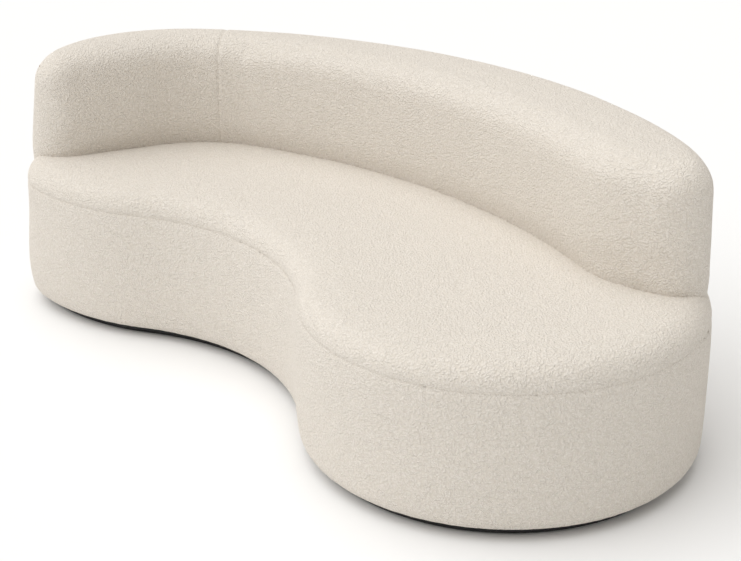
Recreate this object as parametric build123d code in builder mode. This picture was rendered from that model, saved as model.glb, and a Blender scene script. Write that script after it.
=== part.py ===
"""Curved sofa: a kidney-shaped upholstered seat on a low recessed plinth, and a crescent back bolted on it.

Millimetres, +Z up, +X along the length, the sitter faces -Y.
The origin is on the floor, under the middle of the overall plan box.
"""
import os
from math import atan2, cos, degrees, hypot, radians, sin, sqrt

from build123d import *

os.makedirs("parts", exist_ok=True)

# Seat outline: radii of the tangent arcs, from the rear arc anticlockwise to the right lobe
rear_radius = 1550.0
rear_left_radius = 582.0
left_end_radius = 215.0
left_front_radius = 600.0
bay_radius = 655.0
lobe_radius = 505.0

# Seat outline: directions, in degrees, where one arc runs into the next
lobe_to_rear = 57.5
rear_to_rear_left = 123.5
rear_left_to_left_end = 175.0
left_end_to_left_front = 258.0

# Heights
overall_height = 762.0
seat_height = 440.0
glide_height = 4.0
plinth_height = 24.0

# Back: plan of its inner face at the seat, and its section
back_setback = 9.0
back_depth = 281.0
back_draft = 2.0
inner_radius = 1750.0
inner_crown_x = -118.0
bend_radius = 330.0
bend_start = 106.0
bend_end = 156.0
end_radius = 260.0
end_start = 62.3
end_heading = 6.0
tip_radius = 88.0
back_top_radius = 76.0
arm_seam_direction = 122.5

# Cover cloth with its wadding, and the seams
cover = 3.0
fit_gap = 0.3
seat_roll_radius = 58.0
top_panel_drop = 62.0
bottom_roll_radius = 30.0
cover_tuck = 48.0
dust_cover_thickness = 1.0

# Foam
side_foam = 20.0
seat_topper = 62.0
front_foam = 45.0
rear_foam = 15.0
top_foam = 60.0

# Timber and board
plinth_inset = 55.0
plinth_wall = 18.0
brace_width = 45.0
brace_pitch = 620.0
brace_count = 3
base_panel_thickness = 15.0
panel_edge_radius = 8.0
wall_ply = 8.0
deck_thickness = 18.0
deck_rail = 80.0
deck_lap = 30.0
deck_height = 308.0
former_thickness = 18.0
former_count = 5
former_pitch = 350.0
former_scoop = 120.0
post_size = 35.0
riser_margin = 52.0
riser_wall = 18.0
rail_thickness = 18.0
skin = 5.0
skin_wrap = 20.0
frame_tip_radius = 45.0
rib_thickness = 18.0
rib_count = 7
arm_rib_count = 2
arm_rib_step = 16.0
rib_blank = 500.0

# Webbing and felt
strap_width = 60.0
strap_pitch = 96.0
strap_thickness = 2.0
strap_lap = 35.0
felt = 3.0

# Fasteners and glides
bolt_diameter = 8.0
bolt_head_width = 13.0
bolt_head_height = 5.3
bolt_play = 0.5
bolt_count = 6
bolt_from_rear = 130.0
arm_bolt_offset = 107.5
arm_bolt_direction = 165.0
washer_diameter = 24.0
washer_thickness = 1.6
tee_nut_diameter = 22.0
tee_nut_flange = 1.5
tee_nut_barrel = 11.0
tee_nut_depth = 10.0
thread_play = 0.1
access_hole = 60.0
screw_diameter = 4.5
screw_length = 34.0
screw_head_diameter = 9.0
screw_head_height = 3.0
screw_rows = (90.0, 225.0)
glide_diameter = 16.0
glide_pitch = 620.0

# Beyond the object, for cutting shapes
reach = 4000.0

# Levels worked out from the heights
panel_bottom = glide_height + plinth_height
panel_top = panel_bottom + base_panel_thickness
cover_bottom = panel_bottom - cover
felt_bottom = deck_height + strap_thickness
core_bottom = felt_bottom + felt
foam_top = seat_height - cover
topper_bottom = foam_top - seat_topper
seam_height = seat_height - top_panel_drop
riser_plate_bottom = foam_top - rail_thickness
frame_top = overall_height - cover - top_foam
rail_top = seat_height + rail_thickness

# Insets from the seat outline, and from the back outline
frame_inset = cover + side_foam
wall_inside = frame_inset + wall_ply
skin_outside = cover + rear_foam
skin_inside = cover + front_foam


def polar(centre, radius, direction):
    """Point at a radius and a direction in degrees from a centre."""
    angle = radians(direction)
    return (centre[0] + radius * cos(angle), centre[1] + radius * sin(angle))


def direction_of(start, end):
    """Direction in degrees from one point to another, 0 to 360."""
    return degrees(atan2(end[1] - start[1], end[0] - start[0])) % 360


def outline_arcs():
    """Arcs of the seat outline as (centre, radius, start, end); the bay arc has a negative radius."""
    rear = (0.0, 0.0)
    rear_left = polar(rear, rear_radius - rear_left_radius, rear_to_rear_left)
    left_end = polar(rear_left, rear_left_radius - left_end_radius, rear_left_to_left_end)
    left_front = polar(left_end, left_end_radius - left_front_radius, left_end_to_left_front)
    lobe = polar(rear, rear_radius - lobe_radius, lobe_to_rear)
    # The bay arc touches the left front arc and the lobe from outside
    span = hypot(lobe[0] - left_front[0], lobe[1] - left_front[1])
    to_left, to_lobe = left_front_radius + bay_radius, lobe_radius + bay_radius
    along = (to_left**2 - to_lobe**2 + span**2) / (2 * span)
    across = sqrt(to_left**2 - along**2)
    heading = direction_of(left_front, lobe)
    bay = polar(polar(left_front, along, heading), across, heading - 90)
    bay_start, bay_end = direction_of(left_front, bay), direction_of(lobe, bay)
    # The middle of the plan box goes to the origin
    middle_x = (left_end[0] - left_end_radius + lobe[0] + lobe_radius) / 2
    middle_y = (lobe[1] - lobe_radius + rear_radius) / 2

    def placed(centre):
        return (centre[0] - middle_x, centre[1] - middle_y)

    return {
        "rear": (placed(rear), rear_radius, lobe_to_rear, rear_to_rear_left),
        "rear_left": (placed(rear_left), rear_left_radius, rear_to_rear_left, rear_left_to_left_end),
        "left_end": (placed(left_end), left_end_radius, rear_left_to_left_end, left_end_to_left_front),
        "left_front": (placed(left_front), left_front_radius, left_end_to_left_front, bay_start),
        "bay": (placed(bay), -bay_radius, bay_start - 180, bay_end - 180),
        "lobe": (placed(lobe), lobe_radius, bay_end - 360, lobe_to_rear),
    }


arcs = outline_arcs()
rear_centre = arcs["rear"][0]
left_end_centre = arcs["left_end"][0]
lobe_centre = arcs["lobe"][0]

# Inner face of the back: its rear arc, the bend into the left arm, and the right end
inner_crown_y = polar(rear_centre, rear_radius, 90)[1] - back_setback - back_depth
inner_centre = (inner_crown_x, inner_crown_y - inner_radius)
bend_centre = polar(inner_centre, inner_radius - bend_radius, bend_start)
end_centre = polar(inner_centre, inner_radius + end_radius, end_start)


def outline(inset):
    """Seat outline moved inwards by an inset."""
    with BuildSketch() as plan:
        with BuildLine():
            for centre, radius, start, end in arcs.values():
                size = radius - inset if radius > 0 else inset - radius
                middle = (start + end) / 2
                points = [polar(centre, size, direction) for direction in (start, middle, end)]
                ThreePointArc(*points)
        make_face()
    return plan.sketch


def sitting_space(growth):
    """Plan of the room in front of the back, grown into the back by an amount."""
    bend, inner, end = bend_radius + growth, inner_radius + growth, end_radius - growth
    arm_foot = polar(bend_centre, bend, bend_end)
    end_foot = polar(end_centre, end, 270 + end_heading)
    left = polar(arm_foot, reach, bend_end + 90)
    right = polar(end_foot, reach, end_heading)
    with BuildSketch() as plan:
        with BuildLine():
            Line(left, arm_foot)
            ThreePointArc(
                arm_foot,
                polar(bend_centre, bend, (bend_start + bend_end) / 2),
                polar(bend_centre, bend, bend_start),
            )
            ThreePointArc(
                polar(inner_centre, inner, bend_start),
                polar(inner_centre, inner, (bend_start + end_start) / 2),
                polar(inner_centre, inner, end_start),
            )
            ThreePointArc(
                polar(end_centre, end, 180 + end_start),
                polar(end_centre, end, (180 + end_start + 270 + end_heading) / 2),
                end_foot,
            )
            Polyline(end_foot, right, (right[0], -reach), (left[0], -reach), left)
        make_face()
    return plan.sketch


def crescent(outer, inner, tip=0):
    """Plan of the back at the seat, inset on its outer and inner side, with its two tips rounded."""
    with BuildSketch() as plan:
        add(outline(back_setback + outer))
        add(sitting_space(inner), mode=Mode.SUBTRACT)
        if tip > 0:
            corners = plan.vertices()
            fillet([corners.sort_by(Axis.Y)[0], corners.sort_by(Axis.X)[-1]], tip)
    return plan.sketch


def seat_well(growth):
    """Plan of the opening in the deck that the webbing spans, grown by an amount."""
    with BuildSketch() as plan:
        add(outline(frame_inset + deck_rail - growth))
        add(sitting_space(growth - deck_lap), mode=Mode.INTERSECT)
    return plan.sketch


def drafted_back(plan, top):
    """Back body on a plan, from the seat to a level, narrowing upwards by the draft."""
    with BuildPart() as body:
        with BuildSketch(Plane.XY.offset(seat_height)):
            add(plan)
        extrude(amount=top - seat_height, taper=back_draft)
    return body.part


def rounded_back(inset):
    """Back body with rounded tips and a rolled top, inset all over but at its foot."""
    with BuildPart() as body:
        add(drafted_back(crescent(inset, inset, tip_radius - inset), overall_height - inset))
        fillet(body.faces().sort_by(Axis.Z)[-1].edges(), back_top_radius - inset)
    return body.part


def rolled_top(inset, bottom, plan_inset):
    """Seat body from a level to the seat top, inset, with its top edge rolled."""
    with BuildPart() as body:
        with BuildSketch(Plane.XY.offset(bottom)):
            add(outline(plan_inset))
        extrude(amount=seat_height - inset - bottom)
        fillet(body.faces().sort_by(Axis.Z)[-1].edges(), seat_roll_radius - inset)
    return body.part


def rolled_foot(inset, top, plan_inset):
    """Seat body from its underside to a level, inset, with its bottom edge rolled."""
    with BuildPart() as body:
        with BuildSketch(Plane.XY.offset(cover_bottom + inset)):
            add(outline(plan_inset))
        extrude(amount=top - cover_bottom - inset)
        fillet(body.faces().sort_by(Axis.Z)[0].edges(), bottom_roll_radius - inset)
    return body.part


def along_outline(inset, pitch):
    """Points spread along the seat outline at about a pitch, at least one on each arc."""
    places = []
    for centre, radius, start, end in arcs.values():
        size = radius - inset if radius > 0 else inset - radius
        count = max(1, round(radians(abs(end - start)) * size / pitch))
        for step in range(count):
            places.append(polar(centre, size, start + (end - start) * (step + 0.5) / count))
    return places


def spread(count, pitch):
    """Places on a line, evenly on both sides of its middle."""
    return [(step - (count - 1) / 2) * pitch for step in range(count)]


# Bolts stand along the rear of the back and one in the left arm
bolt_ring = rear_radius - back_setback - bolt_from_rear
bolt_sweep = rear_to_rear_left - lobe_to_rear
bolt_places = [
    polar(rear_centre, bolt_ring, lobe_to_rear + bolt_sweep * step / bolt_count)
    for step in range(bolt_count)
]
bolt_places.append(polar(left_end_centre, arm_bolt_offset, arm_bolt_direction))
brace_places = spread(brace_count, brace_pitch)
screw_places = [(x, y) for x in brace_places for y in screw_rows]
former_places = spread(former_count, former_pitch)
bolt_seat = riser_plate_bottom - washer_thickness
bolt_step = bolt_sweep / bolt_count
rib_start = lobe_to_rear - bolt_step / 2
rib_sweep = bolt_step * rib_count
arm_rib_start = bend_end - arm_rib_step
arm_seam_plane = Plane(origin=(*bend_centre, 0), z_dir=polar((0, 0), 1, arm_seam_direction + 90) + (0,))
border_seam = (left_end_centre[1] + lobe_centre[1]) / 2
border_plane = Plane.XZ.offset(-border_seam)

# Glides under the plinth
with BuildPart() as glides:
    with BuildSketch():
        with Locations(*along_outline(plinth_inset + plinth_wall / 2, glide_pitch)):
            Circle(glide_diameter / 2)
    extrude(amount=glide_height)

# Recessed plinth: a bent ply ring with braces across it
with BuildPart() as plinth_ring:
    with BuildSketch(Plane.XY.offset(glide_height)):
        add(outline(plinth_inset))
        add(outline(plinth_inset + plinth_wall), mode=Mode.SUBTRACT)
    extrude(amount=plinth_height)

with BuildPart() as plinth_braces:
    with BuildSketch(Plane.XY.offset(glide_height)):
        with Locations(*[(x, 0) for x in brace_places]):
            Rectangle(brace_width, reach)
        add(outline(plinth_inset + plinth_wall), mode=Mode.INTERSECT)
        with Locations(*screw_places):
            Circle(screw_diameter / 2, mode=Mode.SUBTRACT)
    extrude(amount=plinth_height - dust_cover_thickness)
    with BuildSketch(Plane.XY.offset(glide_height)):
        with Locations(*screw_places):
            Circle(screw_head_diameter / 2)
    extrude(amount=screw_head_height, mode=Mode.SUBTRACT)

with BuildPart() as plinth_screws:
    with BuildSketch(Plane.XY.offset(glide_height)):
        with Locations(*screw_places):
            Circle(screw_diameter / 2)
    extrude(amount=screw_length)
    with BuildSketch(Plane.XY.offset(glide_height)):
        with Locations(*screw_places):
            Circle(screw_head_diameter / 2)
    extrude(amount=screw_head_height)

with BuildPart() as dust_cover:
    with BuildSketch(Plane.XY.offset(panel_bottom - dust_cover_thickness)):
        add(outline(plinth_inset + plinth_wall))
        with Locations(*screw_places):
            Circle(screw_diameter / 2, mode=Mode.SUBTRACT)
    extrude(amount=dust_cover_thickness)

# Seat carcass: base panel, bent ply walls, formers, posts and the deck
with BuildPart() as base_panel:
    with BuildSketch(Plane.XY.offset(panel_bottom)):
        add(outline(frame_inset))
        with Locations(*screw_places):
            Circle(screw_diameter / 2, mode=Mode.SUBTRACT)
    extrude(amount=base_panel_thickness)
    fillet(base_panel.faces().sort_by(Axis.Z)[0].outer_wire().edges(), panel_edge_radius)

with BuildPart() as wall_rear:
    with BuildSketch(Plane.XY.offset(panel_top)):
        add(outline(frame_inset))
        add(outline(wall_inside), mode=Mode.SUBTRACT)
    extrude(amount=deck_height - deck_thickness - panel_top)
    split(bisect_by=border_plane, keep=Keep.BOTTOM)

with BuildPart() as wall_front:
    with BuildSketch(Plane.XY.offset(panel_top)):
        add(outline(frame_inset))
        add(outline(wall_inside), mode=Mode.SUBTRACT)
    extrude(amount=deck_height - deck_thickness - panel_top)
    split(bisect_by=border_plane, keep=Keep.TOP)

with BuildPart() as seat_formers:
    with BuildSketch(Plane.XY.offset(panel_top)):
        with Locations(*[(x, 0) for x in former_places]):
            Rectangle(former_thickness, reach)
        add(outline(wall_inside), mode=Mode.INTERSECT)
    extrude(amount=deck_height - deck_thickness - panel_top)
    with BuildSketch(Plane.XY.offset(deck_height - deck_thickness - former_scoop)):
        add(seat_well(0))
    extrude(amount=former_scoop, mode=Mode.SUBTRACT)

with BuildPart() as wall_posts:
    with BuildSketch(Plane.XY.offset(panel_top)):
        with Locations(*[(x + (former_thickness + post_size) / 2, 0) for x in former_places]):
            Rectangle(post_size, reach)
        add(outline(wall_inside), mode=Mode.INTERSECT)
        add(outline(wall_inside + post_size), mode=Mode.SUBTRACT)
    extrude(amount=deck_height - deck_thickness - panel_top)

with BuildPart() as deck:
    with BuildSketch(Plane.XY.offset(deck_height - deck_thickness)):
        add(outline(frame_inset))
        add(seat_well(0), mode=Mode.SUBTRACT)
        with Locations(*bolt_places):
            Circle(access_hole / 2, mode=Mode.SUBTRACT)
    extrude(amount=deck_thickness)

# Webbing across the well, with a felt sheet over it
strap_count = int(2 * (lobe_centre[0] + lobe_radius - frame_inset - deck_rail) / strap_pitch)
with BuildPart() as seat_webbing:
    with BuildSketch(Plane.XY.offset(deck_height)):
        with Locations(*[(x, 0) for x in spread(strap_count, strap_pitch)]):
            Rectangle(strap_width, reach)
        add(seat_well(strap_lap), mode=Mode.INTERSECT)
        add(crescent(riser_margin - fit_gap, riser_margin - fit_gap), mode=Mode.SUBTRACT)
    extrude(amount=strap_thickness)

with BuildPart() as spring_felt:
    with BuildSketch(Plane.XY.offset(felt_bottom)):
        add(outline(frame_inset))
        add(crescent(riser_margin - fit_gap, riser_margin - fit_gap), mode=Mode.SUBTRACT)
    extrude(amount=felt)

# Seat foam: a firm core, a soft topper with a rolled edge and a wrap round the walls
with BuildPart() as seat_foam_core:
    with BuildSketch(Plane.XY.offset(core_bottom)):
        add(outline(cover + fit_gap))
        add(crescent(riser_margin - fit_gap, riser_margin - fit_gap), mode=Mode.SUBTRACT)
    extrude(amount=topper_bottom - core_bottom)

with BuildPart() as seat_foam_topper:
    add(rolled_top(cover, topper_bottom, cover + fit_gap))
    with BuildSketch(Plane.XY.offset(topper_bottom)):
        add(crescent(riser_margin - fit_gap, riser_margin - fit_gap))
    extrude(amount=seat_topper, mode=Mode.SUBTRACT)

with BuildPart() as side_foam_wrap:
    add(rolled_foot(cover, core_bottom, cover + fit_gap))
    with BuildSketch(Plane.XY.offset(panel_bottom)):
        add(outline(frame_inset - fit_gap))
    extrude(amount=core_bottom - panel_bottom, mode=Mode.SUBTRACT)

# Riser: carries the back from the deck through the foam
with BuildPart() as riser_ring:
    with BuildSketch(Plane.XY.offset(deck_height)):
        add(crescent(riser_margin, riser_margin))
        add(crescent(riser_margin + riser_wall, riser_margin + riser_wall), mode=Mode.SUBTRACT)
    extrude(amount=riser_plate_bottom - deck_height)

with BuildPart() as riser_plate:
    with BuildSketch(Plane.XY.offset(riser_plate_bottom)):
        add(crescent(riser_margin, riser_margin))
        with Locations(*bolt_places):
            Circle((bolt_diameter + bolt_play) / 2, mode=Mode.SUBTRACT)
    extrude(amount=rail_thickness)

# Seat covers: a top panel with a rolled edge, sewn to a border in two lengths that tucks under the base
with BuildPart() as seat_cover_top:
    add(rolled_top(0, seam_height, 0))
    add(rolled_top(cover, seam_height, cover), mode=Mode.SUBTRACT)
    with BuildSketch(Plane.XY.offset(seat_height - cover)):
        with Locations(*bolt_places):
            Circle((bolt_diameter + bolt_play) / 2)
    extrude(amount=cover, mode=Mode.SUBTRACT)

with BuildPart() as border_cover_rear:
    add(rolled_foot(0, seam_height, 0))
    add(rolled_foot(cover, seam_height, cover), mode=Mode.SUBTRACT)
    with BuildSketch(Plane.XY.offset(cover_bottom)):
        add(outline(cover_tuck))
    extrude(amount=cover, mode=Mode.SUBTRACT)
    split(bisect_by=border_plane, keep=Keep.BOTTOM)

with BuildPart() as border_cover_front:
    add(rolled_foot(0, seam_height, 0))
    add(rolled_foot(cover, seam_height, cover), mode=Mode.SUBTRACT)
    with BuildSketch(Plane.XY.offset(cover_bottom)):
        add(outline(cover_tuck))
    extrude(amount=cover, mode=Mode.SUBTRACT)
    split(bisect_by=border_plane, keep=Keep.TOP)

# Back frame: rails, ribs and board skins
frame_shell = crescent(skin_outside, skin_inside, frame_tip_radius)
frame_core = crescent(skin_outside + skin, skin_inside + skin, frame_tip_radius - skin)
front_skin_room = sitting_space(skin_inside + skin + skin_wrap)
frame_room = crescent(skin_outside - rear_foam / 2, skin_inside - fit_gap, frame_tip_radius)

with BuildPart() as back_bottom_rail:
    add(drafted_back(frame_core, rail_top))
    with BuildSketch(Plane.XY.offset(seat_height)):
        with Locations(*bolt_places):
            Circle((tee_nut_barrel + bolt_play) / 2)
    extrude(amount=rail_thickness, mode=Mode.SUBTRACT)

with BuildPart() as back_top_rail:
    add(drafted_back(frame_core, frame_top))
    split(bisect_by=Plane.XY.offset(frame_top - rail_thickness), keep=Keep.TOP)

with BuildPart() as back_ribs:
    with BuildSketch(Plane(origin=(*rear_centre, rail_top))):
        with PolarLocations(bolt_ring, rib_count, rib_start, rib_sweep):
            Rectangle(rib_blank, rib_thickness)
    extrude(amount=frame_top - rail_thickness - rail_top)
    with BuildSketch(Plane(origin=(*bend_centre, rail_top))):
        with PolarLocations(bend_radius, arm_rib_count, arm_rib_start, arm_rib_step * arm_rib_count):
            Rectangle(rib_blank, rib_thickness)
    extrude(amount=frame_top - rail_thickness - rail_top)
    add(drafted_back(frame_core, frame_top), mode=Mode.INTERSECT)

with BuildPart() as back_skin_front:
    add(drafted_back(frame_shell, frame_top))
    add(drafted_back(frame_core, frame_top), mode=Mode.SUBTRACT)
    with BuildSketch(Plane.XY.offset(seat_height)):
        add(front_skin_room)
    extrude(amount=frame_top - seat_height, mode=Mode.INTERSECT)

with BuildPart() as back_skin_rear:
    add(drafted_back(frame_shell, frame_top))
    add(drafted_back(frame_core, frame_top), mode=Mode.SUBTRACT)
    with BuildSketch(Plane.XY.offset(seat_height)):
        add(front_skin_room)
    extrude(amount=frame_top - seat_height, mode=Mode.SUBTRACT)

# Back foam: a thick pad in front and over the top, a thin sheet behind
with BuildPart() as back_foam_front:
    add(rounded_back(cover + fit_gap))
    add(drafted_back(outline(back_setback + skin_outside), overall_height), mode=Mode.INTERSECT)
    add(drafted_back(frame_room, frame_top), mode=Mode.SUBTRACT)

with BuildPart() as back_foam_rear:
    add(rounded_back(cover + fit_gap))
    add(drafted_back(outline(back_setback + skin_outside - fit_gap), overall_height), mode=Mode.SUBTRACT)

# Back cover in two lengths, joined by an upright seam where the arm begins
with BuildPart() as back_cover_arm:
    add(rounded_back(0))
    add(rounded_back(cover), mode=Mode.SUBTRACT)
    split(bisect_by=arm_seam_plane, keep=Keep.TOP)

with BuildPart() as back_cover_main:
    add(rounded_back(0))
    add(rounded_back(cover), mode=Mode.SUBTRACT)
    split(bisect_by=arm_seam_plane, keep=Keep.BOTTOM)

# Bolts up through the riser plate into tee nuts on the back's bottom rail
with BuildPart() as back_bolts:
    with BuildSketch(Plane.XY.offset(bolt_seat)):
        with Locations(*bolt_places):
            Circle(bolt_diameter / 2)
    extrude(amount=rail_top + tee_nut_flange - bolt_seat)
    with BuildSketch(Plane.XY.offset(bolt_seat - bolt_head_height)):
        with Locations(*bolt_places):
            RegularPolygon(bolt_head_width / 2, 6, major_radius=False)
    extrude(amount=bolt_head_height)

with BuildPart() as bolt_washers:
    with BuildSketch(Plane.XY.offset(bolt_seat)):
        with Locations(*bolt_places):
            Circle(washer_diameter / 2)
            Circle((bolt_diameter + bolt_play) / 2, mode=Mode.SUBTRACT)
    extrude(amount=washer_thickness)

with BuildPart() as tee_nuts:
    with BuildSketch(Plane.XY.offset(rail_top)):
        with Locations(*bolt_places):
            Circle(tee_nut_diameter / 2)
    extrude(amount=tee_nut_flange)
    with BuildSketch(Plane.XY.offset(rail_top - tee_nut_depth)):
        with Locations(*bolt_places):
            Circle(tee_nut_barrel / 2)
    extrude(amount=tee_nut_depth)
    with BuildSketch(Plane.XY.offset(rail_top - tee_nut_depth)):
        with Locations(*bolt_places):
            Circle((bolt_diameter + thread_play) / 2)
    extrude(amount=tee_nut_depth + tee_nut_flange, mode=Mode.SUBTRACT)

pieces = {
    "glides": glides,
    "plinth_ring": plinth_ring,
    "plinth_braces": plinth_braces,
    "plinth_screws": plinth_screws,
    "dust_cover": dust_cover,
    "base_panel": base_panel,
    "wall_front": wall_front,
    "wall_rear": wall_rear,
    "seat_formers": seat_formers,
    "wall_posts": wall_posts,
    "deck": deck,
    "seat_webbing": seat_webbing,
    "spring_felt": spring_felt,
    "seat_foam_core": seat_foam_core,
    "seat_foam_topper": seat_foam_topper,
    "side_foam_wrap": side_foam_wrap,
    "riser_ring": riser_ring,
    "riser_plate": riser_plate,
    "seat_cover_top": seat_cover_top,
    "border_cover_front": border_cover_front,
    "border_cover_rear": border_cover_rear,
    "back_bottom_rail": back_bottom_rail,
    "back_top_rail": back_top_rail,
    "back_ribs": back_ribs,
    "back_skin_front": back_skin_front,
    "back_skin_rear": back_skin_rear,
    "back_foam_front": back_foam_front,
    "back_foam_rear": back_foam_rear,
    "back_cover_arm": back_cover_arm,
    "back_cover_main": back_cover_main,
    "back_bolts": back_bolts,
    "bolt_washers": bolt_washers,
    "tee_nuts": tee_nuts,
}
for name, piece in pieces.items():
    piece.part.label = name
    export_step(piece.part, f"parts/{name}.step")
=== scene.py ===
from functools import cache
from math import cos, exp, radians, sin

import bmesh
import bpy
import numpy as np
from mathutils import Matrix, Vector
from mathutils.bvhtree import BVHTree
from mathutils.kdtree import KDTree


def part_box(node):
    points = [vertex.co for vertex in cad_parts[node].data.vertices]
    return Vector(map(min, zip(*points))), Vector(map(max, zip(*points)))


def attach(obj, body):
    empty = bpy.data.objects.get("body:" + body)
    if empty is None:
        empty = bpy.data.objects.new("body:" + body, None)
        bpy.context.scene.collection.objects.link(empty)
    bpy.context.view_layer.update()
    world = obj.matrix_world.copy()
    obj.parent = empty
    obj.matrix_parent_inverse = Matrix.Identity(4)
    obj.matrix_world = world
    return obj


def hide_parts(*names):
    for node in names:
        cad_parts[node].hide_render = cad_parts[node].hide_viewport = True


bl_info = {
    "name": "Curved sofa",
    "version": (1, 0, 0),
    "blender": (4, 5, 0),
    "location": "View3D > Sidebar > Sofa",
    "description": "Upholsters and finishes a curved sofa around its packed frame, and sets its stage",
    "category": "Object",
}

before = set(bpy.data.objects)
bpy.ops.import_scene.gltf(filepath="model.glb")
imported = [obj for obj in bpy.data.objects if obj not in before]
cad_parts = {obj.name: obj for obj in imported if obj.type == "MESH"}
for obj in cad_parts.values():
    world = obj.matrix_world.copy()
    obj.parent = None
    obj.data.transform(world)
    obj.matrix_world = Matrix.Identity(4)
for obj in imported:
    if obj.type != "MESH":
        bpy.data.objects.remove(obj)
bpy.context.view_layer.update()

BODY = "root"
UP = Vector((0, 0, 1))

# Coincident corners of the CAD meshes are this near each other
MERGE = 1e-5
# The covers' faces are looked for this far from the bodies
REACH = 0.02
# The seat is looked for over this distance, down from just above the rim of the back's foot
LANDING = 0.1
# The seat's underside lies at most this far above the base's, and the back's this far above its foot
BASE_PLAY = 0.005
FOOT_PLAY = 0.01
# Vertices within this share of the mesh spacing of a seam or a foot are held while a body is stuffed
HELD_SHARE = 0.6
# Steps of the cloth simulation in each frame
CLOTH_STEPS = 4
# Turns of smoothing, and their strength, after the remesh, and turns for the simulated swelling
SETTLE_TURNS = 4
SETTLE_STRENGTH = 0.5
EVEN_TURNS = 6
# Edge loops on a seam and beside it, as shares of its half width
SEAM_LOOPS = (0.0, -0.6, 0.6, -1.4, 1.4)
# The arm's seam lies within this distance of its middle
ARM_SEAM_SPAN = 0.4
# Upright part of a face's normal: below this in a wall, at most this in a cut edge
WALL_LEAN = 0.5
EDGE_LEAN = 0.1
# The normals of the seat's underside point down by at least this
UNDERSIDE_LEAN = 0.7
# Edges sharper than these are shaded crisp
CLOTH_CREASE = radians(60)
PLINTH_CREASE = radians(50)
# Edges of the plinth sharper than this are softened, in this many steps
PLINTH_RIM = radians(60)
RIM_STEPS = 2
# How tightly the padded pieces are filled, from 0 to 1
PANEL_FILL = 0.8
BORDER_FILL = 0.85
# Faces round a stitch and along it
STITCH_SIDES = 6
STITCH_RINGS = 5
# Largest slant of a staple in radians, and the length of its legs in wire thicknesses
STAPLE_SLANT = 0.22
STAPLE_LEG = 3.0
# Colour sockets of a mix node, whose names are the same for every type
MIX_FIRST = 6
MIX_SECOND = 7
MIX_RESULT = 2
FLOOR_HALF_WIDTH = 40.0
# Camera's sensor in millimetres
SENSOR_WIDTH = 36.0

SEAT_SOLIDS = (
    "seat_foam_core", "seat_foam_topper", "side_foam_wrap", "base_panel", "deck", "riser_ring", "riser_plate")
SEAT_COVERS = ("seat_cover_top", "border_cover_front", "border_cover_rear")
BACK_SOLIDS = (
    "back_foam_front", "back_foam_rear", "back_skin_front", "back_skin_rear", "back_top_rail",
    "back_bottom_rail")
BACK_COVERS = ("back_cover_arm", "back_cover_main")

# Levels and seams that the frame gives
SEAM_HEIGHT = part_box("seat_cover_top")[0].z
BASE_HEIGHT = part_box("base_panel")[0].z
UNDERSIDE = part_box("border_cover_front")[0].z
BACK_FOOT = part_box("back_cover_main")[0].z
BACK_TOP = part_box("back_cover_main")[1].z
BORDER_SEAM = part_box("border_cover_rear")[0].y


def length(name, description, default):
    """Property for a length."""
    return bpy.props.FloatProperty(name=name, description=description, default=default, unit="LENGTH")


def strength(name, description, default):
    """Property for a strength, which has no unit."""
    return bpy.props.FloatProperty(name=name, description=description, default=default, min=0.0)


def angle(name, description, degrees):
    """Property for an angle, given in degrees."""
    return bpy.props.FloatProperty(
        name=name, description=description, default=radians(degrees), subtype="ANGLE")


def colour(name, description, default):
    """Property for a colour in linear values."""
    return bpy.props.FloatVectorProperty(name=name, description=description, default=default, subtype="COLOR")


class SofaUpholstery(bpy.types.PropertyGroup):
    """Sizes of the soft work: how full the covers are, their seams and their pile."""

    mesh_spacing: length("Mesh spacing", "Spacing of the stuffed mesh, before it is subdivided", 0.014)
    pressure: strength("Stuffing pressure", "Pressure of the stuffing in the cloth simulation", 15.0)
    stuffing_frames: bpy.props.IntProperty(
        name="Stuffing frames", description="Frames that the cloth simulation runs for",
        default=20, min=2, max=60)
    seat_rise: length("Seat rise", "Furthest that the seat's top panel swells", 0.007)
    border_belly: length("Border belly", "Furthest that the border swells outwards", 0.015)
    foot_roll: length("Foot roll", "Height of the border's rolled foot, which is pulled tight", 0.03)
    end_fill: length("End fill", "How far the border is filled out low on the seat's left end", 0.014)
    end_fill_length: length("End fill length", "Length over which that filling fades", 0.2)
    back_fullness: length("Back fullness", "Furthest that the back swells", 0.014)
    foot_tuck: length("Foot tuck", "How far the back's cover turns in at its foot", 0.0022)
    foot_sink: length("Foot sink", "How far the back's cover goes down into the seat", 0.004)
    arm_heading: angle("Arm heading", "Direction that the left end of the seat and the arm faces", -48.6)
    arm_drop: length("Arm drop", "How far the top of the arm's end is rounded down", 0.05)
    arm_drop_length: length("Arm drop length", "Length over which that rounding fades", 0.08)
    arm_fill: length("Arm fill", "How far the arm's end is filled out at its foot", 0.022)
    arm_fill_length: length("Arm fill length", "Length over which that filling fades", 0.15)
    cloth_thickness: length("Cloth thickness", "Thickness of the cover cloth with its wadding", 0.0028)
    cover_offset: length("Cover offset", "How far the cover's face lies outside its CAD solid", 0.0008)
    seam_depth: length("Seam depth", "Depth of the valley along a sewn seam", 0.0026)
    seam_width: length("Seam width", "Half width of the valley along a sewn seam", 0.0055)
    lump_height: length("Lump height", "Height of the lumps that the loop pile makes", 0.0008)
    lump_size: length("Lump size", "Size of the lumps that the loop pile makes", 0.017)
    wave_height: length("Wave height", "Height of the slow unevenness of hand-laid foam", 0.0025)
    wave_size: length("Wave size", "Size of the slow unevenness of hand-laid foam", 0.21)


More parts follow.
